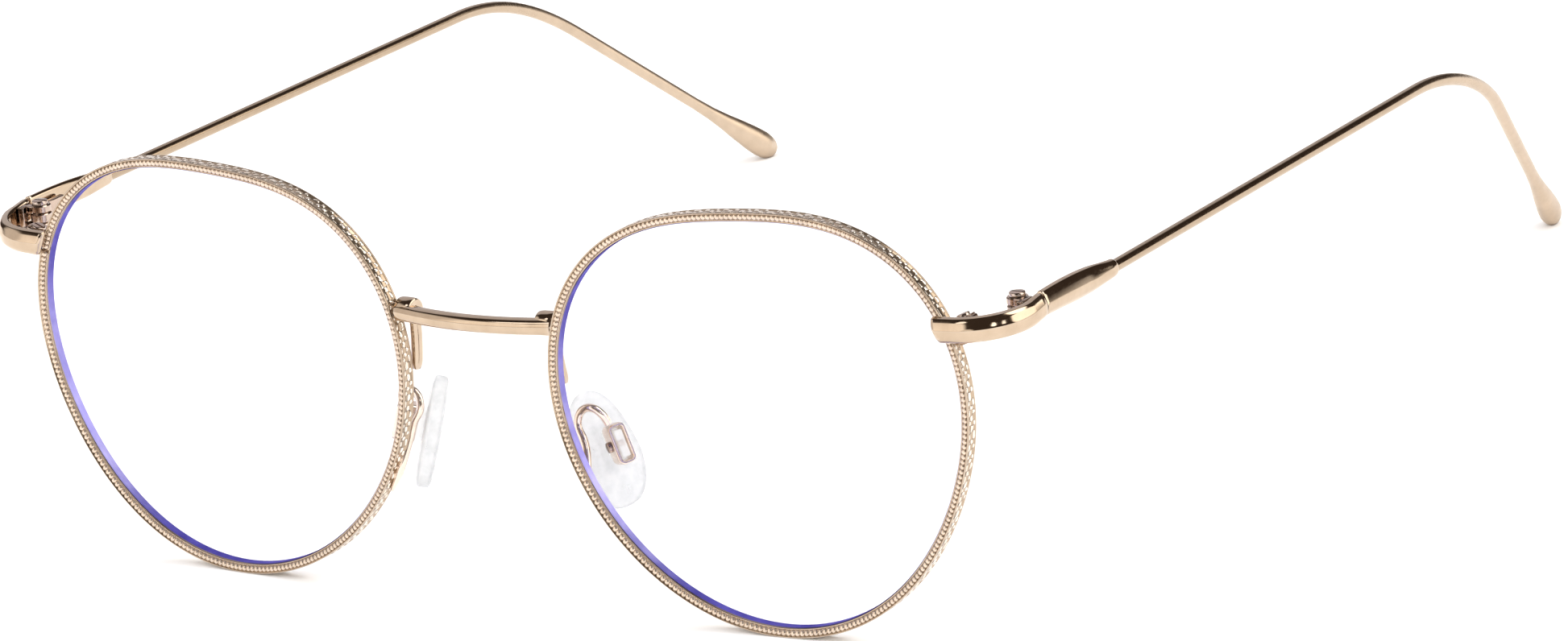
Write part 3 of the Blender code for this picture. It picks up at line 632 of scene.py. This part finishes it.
def make_net(materials):
    """The texture engraved round the eyewire's side: staggered pebbles with pits between them, which the net
    material paints near black as shade.
    """
    low, high, rows = 0.42, 1.60, 14
    base, depth = 0.89, 0.17
    along_pitch, across_pitch = 1.30, 1.10
    rings, heights = [], []
    for angle, run in even_angles(0.105, 1.0):
        point, out = outline(angle)
        ring = []
        for row in range(rows + 1):
            back = low + (high - low) * row / rows
            wander = 0.7 * math.sin(run * 1.3) + 0.6 * math.sin(run * 3.1 + back * 2)
            first = math.cos(TURN * run / along_pitch + wander)
            second = math.cos(TURN * (back - low) / across_pitch + 0.5 * math.sin(run * 2.9))
            pebble = 0.5 + 0.5 * first * second
            pebble = min(1.0, 1.35 * pebble**1.5)
            heights.append(pebble)
            ring.append(point + out * (base + depth * pebble) + Vector((0, back, 0)))
        for back in (high, low):
            heights.append(0)
            ring.append(point + out * (base - 0.06) + Vector((0, back, 0)))
        rings.append(ring)
    mesh = mesh_of(*skin(rings), LENS_PLANE)
    mesh.attributes.new(RIDGE, "FLOAT", "POINT").data.foreach_set("value", heights)
    on_ground(mesh)
    add_pair("eyewire_net", mesh, materials["net"], "front", [], sharp=180)


def make_lenses(materials):
    """A lens with a gentle dome, and a ground edge with a V bevel that sits in the eyewire's groove."""
    steps = 144
    dome = 1.4
    front, back = 0.50, 1.56
    inset = 0.02
    shares = [1 - (1 - i / 14) ** 1.6 for i in range(15)]
    edge = [(-inset, front + 0.04), (0.18, 0.95), (0.18, 1.15), (-inset, back - 0.06)]
    around = [outline(TURN * i / steps) for i in range(steps)]

    def ring(share, y_back):
        """A ring of the front or back face, this share of the way out."""
        bulge = Vector((0, y_back - dome * (1 - share * share), 0))
        return [(point - out * (inset + 0.05)) * share + bulge for point, out in around]

    rings = [ring(share, front) for share in shares[1:]]
    for offset, y in edge:
        rings.append([point + out * offset + Vector((0, y, 0)) for point, out in around])
    edge_start = len(shares) - 2
    rings += [ring(share, back) for share in reversed(shares[1:])]
    points, faces = skin(rings)
    mesh = mesh_of(points, faces, LENS_PLANE)
    for polygon in mesh.polygons:
        if len(polygon.vertices) > 4:
            continue
        first_ring = min(polygon.vertices) // steps
        if edge_start <= first_ring <= edge_start + len(edge):
            polygon.material_index = 1
    slots = [materials["lens"], materials["lens_edge"]]
    add_pair("coated_lens", mesh, slots, "front", ["lens_"], sharp=30)


def make_rim_locks(materials):
    """The two blocks at the eyewire's split, with the screw that draws them together."""
    point, out = outline(RIM_LOCK_ANGLE)
    tilt = math.atan2(out.z, out.x)
    lock = LENS_PLANE @ Matrix.Translation(point + out * 1.1) @ Matrix.Rotation(-tilt, 4, "Y")
    size = Vector((3.0, 1.7, 1.25))
    start, split = 0.12, 0.15
    bore = Vector((start + size.x * 0.55, 1.5, 0))
    for name, low_z in (("upper", split), ("lower", -split - size.z)):
        low = Vector((start, bore.y - size.y / 2, low_z))
        part = block(low, low + size, 0.34, 4)
        if name == "upper":
            ribs = []
            for x in (0.34, 2.62):
                rib_low = Vector((start + x - 0.2, bore.y - 0.6, low_z + size.z - 0.12))
                ribs.append(block(rib_low, rib_low + Vector((0.4, 1.2, 0.26)), 0.1, 3))
            part = together(part, *ribs)
        mesh = mesh_of(*part, lock)
        nodes = [f"rim_lock_{name}_"]
        add_pair("rim_lock_block_" + name, mesh, materials["hinge"], "front", nodes)
    top = split + size.z
    screw = screw_part(0.78, 0.38, 0.48, 2 * top + 0.06)
    mesh = mesh_of(*screw, lock @ Matrix.Translation(bore + Vector((0, 0, top + 0.06))))
    add_pair("rim_lock_bolt", mesh, materials["screw"], "front", ["rim_lock_screw_"])


def make_bridge(materials):
    """A bowed bar that thickens where it meets the eyewires."""
    steps = 60
    route, sections = [], []
    lower = [(-0.94, -0.45), (-0.55, -0.95), (0.20, -0.97), (0.72, -0.80), (0.935, -0.30)]
    upper = [(0.935, 0.22), (0.76, 0.66), (0.30, 0.94), (-0.55, 0.94), (-0.94, 0.50)]
    outline_points = softened([*lower, *upper], 0.25)
    for i in range(steps + 1):
        x = BRIDGE_HALF * (2 * i / steps - 1)
        share = abs(x) / BRIDGE_HALF
        route.append(Vector((x, -BRIDGE_BOW * (1 - share**2), BRIDGE_HEIGHT)))
        flare = 1.0 + 0.10 * max(0.0, (share - 0.8) / 0.2) ** 2
        sections.append([(x * flare, y * flare) for x, y in outline_points])
    mesh = mesh_of(*skin(bar_rings(route, sections)), FRONT_MM)
    add_piece("bridge_bar", mesh, materials["polished"], "front", ["bridge"])


def make_bridge_feet(materials):
    """The plate behind each eyewire that carries the bridge, with an arm that curls forward to the bar."""
    depth = 0.62
    eyewire_back, brazing = 2.0, 0.15
    back = eyewire_back + brazing + depth
    section = softened([(-0.60, -depth), (0.60, -depth), (0.60, depth), (-0.60, depth)], 0.22)
    route = []
    for degrees, offset in ((180, 0.85), (176, 1.15), (172, 1.5), (168, 1.9)):
        point, out = outline(math.radians(degrees))
        route.append(point + out * offset)
    top = route[-1]
    route += [top + Vector((0, 0, 0.9)), top + Vector((-0.45, 0, 1.55))]
    route = smooth_route(route, 6)
    count = len(route)
    rings = []
    for i, point in enumerate(route):
        ahead = (route[min(i + 1, count - 1)] - route[max(i - 1, 0)]).normalized()
        side = Vector((ahead.z, 0, -ahead.x))
        from_end = min(i, count - 1 - i)
        size = (0.72, 0.90, 0.98)[from_end] if from_end < 3 else 1.0
        rings.append([point + side * x * size + Vector((0, back + y * size, 0)) for x, y in section])
    strap = softened([(-0.5, -1.15), (0.5, -1.15), (0.5, 1.15), (-0.5, 1.15)], 0.16)
    curl = [(0, 0.5), (0, 1.6), (0.35, 2.25), (1.0, 2.5), (1.65, 2.2), (2.0, 1.5)]
    curl = smooth_route([(top.x, back - forward, top.z + rise) for forward, rise in curl], 6)
    arm = bar_rings(curl, [strap] * len(curl), Vector((1, 0, 0)))
    mesh = mesh_of(*together(skin(rings), skin(arm)), LENS_PLANE)
    add_pair("bridge_plate", mesh, materials["polished"], "front", ["bridge_foot_"])


def bar_section(ridge=0.10, brow=0.48):
    """The ridged bar: flat inside, two long facets and a chamfer outside. X is outwards, Y is up.

    ridge is the height where the facets meet, and brow how far out the upper one still is at its top.
    """
    return [
        (-0.72, -1.12), (-0.45, -1.40), (0.27, -1.40), (0.62, -0.95), (0.78, ridge), (brow, 0.92),
        (brow - 0.34, 1.30), (-0.45, 1.40), (-0.72, 1.12),
    ]


def make_end_pieces(materials):
    """The bar that laps over the eyewire's front and turns back to the hinge."""
    section = softened(bar_section(), 0.10)
    slant = math.tan(math.radians(17))
    start_x = 61.75
    turn_x = BAR_X - END_PIECE_TURN
    straight_steps, turn_steps, last_steps = 8, 24, 4
    start_z, turn_z, turn_rise, last_rise = 10.98, 11.1, 0.6, 0.32
    route = []
    for i in range(straight_steps + 1):
        share = i / straight_steps
        x, z = start_x + (turn_x - start_x) * share, start_z + (turn_z - start_z) * share
        route.append(Vector((x, END_PIECE_Y, z)))
    for i in range(1, turn_steps + 1):
        angle = math.pi / 2 * i / turn_steps
        x = turn_x + END_PIECE_TURN * math.sin(angle)
        y = END_PIECE_Y + END_PIECE_TURN * (1 - math.cos(angle))
        route.append(Vector((x, y, turn_z + turn_rise * i / turn_steps)))
    end = route[-1]
    for i in range(1, last_steps + 1):
        share = i / last_steps
        route.append(Vector((BAR_X, end.y + (JOINT_Y - end.y) * share, end.z + last_rise * share)))
    leaned = bar_rings(route, [section] * len(route))
    for i in range(straight_steps):
        for point in leaned[i]:
            point.x -= (point.z - 11) * slant * (1 - i / straight_steps)
    rounded = []
    for share, forward in ((0.80, 0.20), (0.91, 0.10), (0.975, 0.03)):
        rounded.append([point - Vector((forward, 0, 0)) for point in shrunk(leaned[0], share)])
    closing = shrunk(leaned[-1], 0.96)
    leaned[-1] = [point - Vector((0, 0.06, 0)) for point in leaned[-1]]
    mesh = mesh_of(*skin([*rounded, *leaned, closing]), FRONT_MM)
    add_pair("end_bar", mesh, materials["polished"], "front", ["end_piece_"], sharp=50)


def wire_point(distance):
    """The temple's centre line, this far behind its start."""
    heading = Vector((-math.sin(WIRE_SPLAY), math.cos(WIRE_SPLAY), math.tan(WIRE_RISE))).normalized()
    if distance <= WIRE_STRAIGHT:
        return WIRE_START + heading * distance
    down = (Vector((0, 0, -1)) + heading * heading.z).normalized()
    inward = heading.cross(down)
    bend_start = WIRE_START + heading * WIRE_STRAIGHT

    def bend_point(angle):
        """The point this far round the ear bend."""
        share = angle / EAR_BEND_ANGLE
        lean = EAR_BEND_LEANS[0] + (EAR_BEND_LEANS[1] - EAR_BEND_LEANS[0]) * share
        towards = math.cos(lean) * down + math.sin(lean) * inward
        return bend_start + EAR_BEND_RADIUS * (math.sin(angle) * heading + (1 - math.cos(angle)) * towards)

    angle = (distance - WIRE_STRAIGHT) / EAR_BEND_RADIUS
    if angle <= EAR_BEND_ANGLE:
        return bend_point(angle)
    end = bend_point(EAR_BEND_ANGLE)
    tip_heading = (end - bend_point(EAR_BEND_ANGLE * 0.999)).normalized()
    return end + tip_heading * (distance - WIRE_STRAIGHT - EAR_BEND_RADIUS * EAR_BEND_ANGLE)


def tip_size(from_end):
    """Half the temple's height this far from its end: a drop, widest near 2.6 mm, with a round end."""
    stations = (
        (0, 0.0), (0.12, 0.55), (0.4, 0.97), (0.8, 1.26), (1.2, 1.43), (1.8, 1.58), (2.6, 1.66),
        (3.6, 1.64), (4.6, 1.58), (7, 1.34), (9.5, 1.03), (12, 0.82), (15, 0.73),
    )
    for (start, low), (end, high) in zip(stations, stations[1:]):
        if from_end <= end:
            return low + (high - low) * (from_end - start) / (end - start)
    return WIRE_RADIUS


def make_temple_wires(materials):
    """Wire drawn straight, bent behind the ear, and pressed to a flattened drop at its end."""
    length = WIRE_STRAIGHT + EAR_BEND_RADIUS * EAR_BEND_ANGLE + TIP_LENGTH
    start = 9.6  # inside the shank
    drop, round_end, pressed = 17, 3, 0.84
    distances = [start + (length - drop - start) * i / 90 for i in range(90)]
    distances += [length - drop + (drop - round_end) * i / 28 for i in range(28)]
    distances += [length - round_end * math.cos(math.pi / 2 * i / 22) for i in range(22)]
    distances.append(length - 0.01)
    route = [wire_point(d) for d in distances]
    sections = []
    for distance in distances:
        high = max(tip_size(length - distance), 0.05)
        thickness = 1 - (1 - pressed) * min(1.0, max(0.0, (high - WIRE_RADIUS) / 0.8))
        if length - distance <= round_end:
            thickness = pressed
        sections.append([(x * thickness, y) for x, y in circle(high, 28)])
    mesh = mesh_of(*skin(bar_rings(route, sections)), FRONT_MM)
    on_ground(mesh)
    add_pair("temple", mesh, materials["wire"], "temple_", ["temple_wire_"], sharp=60)


def make_temple_shanks(materials):
    """The thick front end of each temple: the ridged bar, rounding off into a shoulder round the wire.

    A station is a distance back from the joint, the height of its middle, and the size of the bar there.
    """
    ridged = softened(bar_section(-0.25, 0.36), 0.10)
    shoulder_out, shoulder_up = 1.04, 1.26
    front = JOINT_Y + JOINT_GAP
    stations = (
        (0.0, 12.12, 1.0), (3.5, 12.08, 1.06), (7.0, 11.96, 1.08), (10.5, 11.82, 1.0), (12.6, 11.75, 0.93),
        (13.9, 11.71, 0.88), (14.7, 11.70, 0.83), (15.0, 11.70, 0.74),
    )
    centres = smooth_route([(BAR_X - math.tan(WIRE_SPLAY) * d, front + d, z) for d, z, _ in stations], 8)
    scales = smooth_route([(d, 0, scale) for d, _, scale in stations], 8)
    sections = []
    for centre, scale in zip(centres, scales):
        distance = centre.y - front
        round_share = min(1.0, max(0.0, (distance - 9.5) / 4.5)) ** 1.5
        section = []
        for x, y in ridged:
            angle = math.atan2(y / 1.4, x / 0.75)
            round_x, round_y = shoulder_out * math.cos(angle), shoulder_up * math.sin(angle)
            x += (round_x - x) * round_share
            y += (round_y - y) * round_share
            section.append((x * scale.z, y * scale.z))
        sections.append(section)
    rings = bar_rings(centres, sections)
    opening = shrunk(rings[0], 0.955)
    rings[0] = [point + Vector((0, 0.07, 0)) for point in rings[0]]
    mesh = mesh_of(*skin([opening, *rings]), FRONT_MM)
    polished = materials["polished"]
    add_pair("temple_head", mesh, polished, "temple_", ["temple_shank_"], sharp=50)


def knuckle_span(index):
    """Where a knuckle starts and ends on the hinge's axis, measured from its middle."""
    total = sum(KNUCKLE_HEIGHTS) + 2 * KNUCKLE_GAP
    low = -total / 2 + sum(KNUCKLE_HEIGHTS[:index]) + KNUCKLE_GAP * index
    return low, low + KNUCKLE_HEIGHTS[index]


def knuckle(index):
    """One of the hinge's three knuckles, with soft edges."""
    low, high = knuckle_span(index)
    edge = 0.13
    r = KNUCKLE_RADIUS
    return turned([(r - edge, low), (r, low + edge), (r, high - edge), (r - edge, high)], 48)


def make_hinges(materials):
    """Three knuckles on a slotted screw: two on the end piece's leaf, and the middle one on the temple's."""
    hinge = FRONT_MM @ Matrix.Translation(HINGE_AXIS)
    bar_inside, leaf_gap, leaf = 0.72, 0.17, 0.75
    leaf_out = BAR_X - bar_inside - leaf_gap - HINGE_AXIS.x
    leaf_in = leaf_out - leaf
    leaf_start, leaf_end = -2.0, JOINT_Y - HINGE_AXIS.y - 0.2
    low, high = knuckle_span(0)[0], knuckle_span(2)[1]
    front_parts = [
        block((leaf_in, leaf_start, low), (leaf_out, leaf_end, low + 0.9), 0.14),
        block((leaf_in, leaf_start, low), (leaf_out, -1.2, high), 0.14),
        block((leaf_in, leaf_start, high - 0.9), (leaf_out, leaf_end, high), 0.14),
    ]
    for index in (0, 2):
        k_low, k_high = knuckle_span(index)
        front_parts.append(knuckle(index))
        front_parts.append(block((0.2, -KNUCKLE_RADIUS, k_low), (leaf_out - 0.1, 0.1, k_high), 0.12))
    mesh = mesh_of(*together(*front_parts), hinge)
    add_pair("hinge_ears", mesh, materials["hinge"], "front", ["hinge_front_leaf_"])

    start = JOINT_Y + JOINT_GAP - HINGE_AXIS.y + 0.25
    k_low, k_high = knuckle_span(1)
    rear_parts = [
        block((leaf_in - 0.25, start, low + 0.1), (leaf_out - 0.25, start + 4.6, high - 0.5), 0.16),
        knuckle(1),
        block((0.2, 0.55, k_low), (leaf_out - 0.3, KNUCKLE_RADIUS + 0.5, k_high), 0.12),
    ]
    mesh = mesh_of(*together(*rear_parts), hinge)
    add_pair("hinge_tongue", mesh, materials["hinge"], "temple_", ["hinge_rear_leaf_"])

    screw = screw_part(0.93, 0.45, 0.52, high - low + 0.3)
    mesh = mesh_of(*screw, hinge @ Matrix.Translation((0, 0, high + 0.06)))
    add_pair("hinge_bolt", mesh, materials["screw"], "front", ["hinge_screw_"])


def pad_frame():
    """The pad's own frame, at its screw: X across it, -Y towards the eyewire, Z up it."""
    up = Vector((-math.sin(PAD_FLARE), 0, math.cos(PAD_FLARE)))
    across = Vector((math.sin(PAD_SPLAY), math.cos(PAD_SPLAY), 0))
    inward = up.cross(across).normalized()
    basis = Matrix((inward.cross(up), inward, up)).transposed().to_4x4()
    box_at = PAD_CENTRE + basis.to_3x3() @ (PAD_BOX_SHIFT - Vector((0, PAD_BOX_STANDOFF, 0)))
    return FRONT_MM @ Matrix.Translation(box_at) @ basis


def make_nose_pads(materials):
    """Each soft pad with its core, and the box, screw and bent arm that hold it."""
    placed = pad_frame()
    pad_at = Vector((0, PAD_BOX_STANDOFF, 0)) - PAD_BOX_SHIFT

    rings = []
    for i in range(1, 24):
        tilt = math.pi * (i / 24 - 0.5)
        depth = math.copysign(abs(math.sin(tilt)) ** 0.40, tilt)
        spread = math.cos(tilt) ** 0.40
        ring = []
        for j in range(64):
            x, z = (
                spread * math.copysign(abs(turned_by) ** 0.82, turned_by)
                for turned_by in (math.cos(TURN * (j + 0.5) / 64), math.sin(TURN * (j + 0.5) / 64))
            )
            taper = 1 - 0.42 * max(0.0, z / 2 + 0.1)
            ring.append(Vector((x * PAD_SIZE.x * taper, depth * PAD_SIZE.y, z * PAD_SIZE.z)) / 2)
        rings.append(ring)
    pad = moved(skin(rings), Matrix.Translation(pad_at))
    stem = block((-0.52, -1.15, -1.6), (0.52, PAD_BOX_STANDOFF - 0.7, 1.6), 0.2)
    collar = block((-0.95, 0.95, -2.0), (0.95, PAD_BOX_STANDOFF - 0.75, 2.0), 0.6, 4)
    insert = block((-1.5, PAD_BOX_STANDOFF - 0.4, -3.4), (1.5, PAD_BOX_STANDOFF + 0.2, 3.2), 0.28, 4)
    mesh = mesh_of(*pad, placed)
    add_pair("silicone_pad", mesh, materials["silicone"], "pad_", ["nose_pad_"], sharp=60)
    core = mesh_of(*together(stem, collar, insert), placed)
    add_pair("pad_core", core, materials["core"], "pad_", [], sharp=60)

    make_pad_box(materials, placed)
    screw = screw_part(0.62, 0.35, 0.36, PAD_BOX.x + 0.2, 0.18, 0.14)
    turn = Matrix.Rotation(math.radians(-90), 4, "Y")
    mesh = mesh_of(*moved(screw, Matrix.Translation((-PAD_BOX.x / 2 - 0.05, 0, 0)) @ turn), placed)
    add_pair("pad_bolt", mesh, materials["screw"], "front", ["pad_screw_"])

    brazed = []
    for degrees in (214, 210, 206):
        point, out = outline(math.radians(degrees))
        brazed.append(FRONT_MM.inverted() @ LENS_PLANE @ (point + out * 1.3 + Vector((0, 1.45, 0))))
    route = smooth_route([*brazed, *PAD_ARM_ROUTE], 8)
    radii = [0.47 * min(1.0, 0.45 + 0.05 * i) for i in range(len(route))]
    radii[-1] = 0.36
    mesh = mesh_of(*skin(wire_rings(route, radii)), FRONT_MM)
    add_pair("pad_gooseneck", mesh, materials["arm"], "front", ["pad_arm_"], sharp=50)


def make_pad_box(materials, placed):
    """An open ring bent from strip: round corners, and soft edges front and back."""
    half = PAD_BOX / 2
    wall = 0.5
    corner = 0.75
    path = []
    for turn_index in range(4):
        angle_start = math.pi / 2 * turn_index
        cx = (half.x - corner) * (1 if turn_index in (0, 3) else -1)
        cz = (half.z - corner) * (1 if turn_index in (0, 1) else -1)
        for i in range(9):
            angle = angle_start + math.pi / 2 * i / 8
            path.append((cx, cz, math.cos(angle), math.sin(angle)))
    strip = softened([(-wall, -half.y), (0, -half.y), (0, half.y), (-wall, half.y)], 0.2)
    points, faces = [], []
    count = len(strip)
    for cx, cz, nx, nz in path:
        for out, y in strip:
            points.append(Vector((cx + nx * (corner + out), y, cz + nz * (corner + out))))
    total = len(path)
    for i in range(total):
        for j in range(count):
            k = (j + 1) % count
            after = (i + 1) % total
            faces.append((i * count + j, i * count + k, after * count + k, after * count + j))
    mesh = mesh_of(points, faces, placed)
    add_pair("pad_ring", mesh, materials["arm"], "front", ["pad_box_"], sharp=50)


# ---------------------------------------------------------------- studio


def make_floor():
    """A wide, plain, pale floor."""
    bm = bmesh.new()
    bmesh.ops.create_grid(bm, x_segments=2, y_segments=2, size=6)
    mesh = bpy.data.meshes.new("floor")
    bm.to_mesh(mesh)
    bm.free()
    s = Surface("pale_floor")
    s.shader.inputs["Roughness"].default_value = 0.9
    s.shader.inputs["Specular IOR Level"].default_value = 0.0
    tone = s.spread(s.noise(60, detail=2), 0, 1)
    s.link(s.blend(tone, (0.93, 0.93, 0.93), (0.95, 0.95, 0.95)), s.shader.inputs["Base Color"])
    mesh.materials.append(s.material)
    floor = bpy.data.objects.new("floor", mesh)
    floor.location.z = -0.00005
    bpy.context.scene.collection.objects.link(floor)


def make_world():
    """A studio as the metal sees it: a bright table and horizon, a few soft boxes, and a dark room."""
    world = bpy.data.worlds.new("studio")
    bpy.context.scene.world = world
    world.use_nodes = True
    tree = world.node_tree
    background = tree.nodes["Background"]
    place = tree.nodes.new("ShaderNodeTexCoord").outputs["Generated"]
    split = tree.nodes.new("ShaderNodeSeparateXYZ")
    tree.links.new(place, split.inputs["Vector"])

    def layered(below, value, low, high, colour):
        """Lays a colour over what is below it, as a value rises from low to high."""
        share = tree.nodes.new("ShaderNodeMapRange")
        share.interpolation_type = "SMOOTHSTEP"
        share.inputs["From Min"].default_value = low
        share.inputs["From Max"].default_value = high
        tree.links.new(value, share.inputs["Value"])
        mix = tree.nodes.new("ShaderNodeMix")
        mix.data_type = "RGBA"
        tree.links.new(share.outputs["Result"], mix.inputs["Factor"])
        if isinstance(below, tuple):
            mix.inputs[6].default_value = (*below, 1)
        else:
            tree.links.new(below, mix.inputs[6])
        mix.inputs[7].default_value = (*colour, 1)
        return mix.outputs[2]

    def around(direction, inner, outer):
        """How near a view is to a direction, with the cosines at which a patch starts and is full."""
        nearness = tree.nodes.new("ShaderNodeVectorMath")
        nearness.operation = "DOT_PRODUCT"
        tree.links.new(place, nearness.inputs[0])
        nearness.inputs[1].default_value = Vector(direction).normalized()
        return nearness.outputs["Value"], math.cos(math.radians(outer)), math.cos(math.radians(inner))

    colour = (0.055, 0.040, 0.032)
    for direction, inner, outer, tint in SOFT_BOXES:
        colour = layered(colour, *around(direction, inner, outer), tint)
    colour = layered(colour, split.outputs["Z"], 0.08, 0.01, (0.80, 0.77, 0.74))
    tree.links.new(colour, background.inputs["Color"])


def make_light():
    """One very soft light from above, which the metal doesn't mirror."""
    lamp = bpy.data.lights.new("sky", "SUN")
    lamp.energy = 3.3
    lamp.angle = math.radians(120)
    sky = bpy.data.objects.new("sky", lamp)
    sky.location = (0.4, -0.6, 2.0)
    sky.rotation_euler = (Vector((0, 0, 0.02)) - sky.location).to_track_quat("-Z", "Y").to_euler()
    sky.visible_glossy = False
    bpy.context.scene.collection.objects.link(sky)


def make_camera():
    """A long lens from the front and the right, a little above."""
    camera = bpy.data.cameras.new("camera")
    camera.lens = CAMERA_LENS
    camera.sensor_width = 36
    camera.clip_start = 0.05
    camera.clip_end = 100
    obj = bpy.data.objects.new("camera", camera)
    forward = CAMERA_FORWARD.normalized()
    right = (CAMERA_RIGHT - forward * CAMERA_RIGHT.dot(forward)).normalized()
    up = right.cross(forward)
    rotation = Matrix((right, up, -forward)).transposed().to_4x4()
    obj.matrix_world = FRONT @ Matrix.Translation(CAMERA_PLACE * MM) @ rotation
    bpy.context.scene.collection.objects.link(obj)
    bpy.context.scene.camera = obj


def main():
    bpy.context.scene.view_settings.view_transform = "Standard"
    materials = make_materials()
    make_rims(materials)
    make_lenses(materials)
    make_rim_locks(materials)
    make_bridge(materials)
    make_bridge_feet(materials)
    make_end_pieces(materials)
    make_temple_wires(materials)
    make_temple_shanks(materials)
    make_hinges(materials)
    make_nose_pads(materials)
    make_floor()
    make_world()
    make_light()
    make_camera()


main()
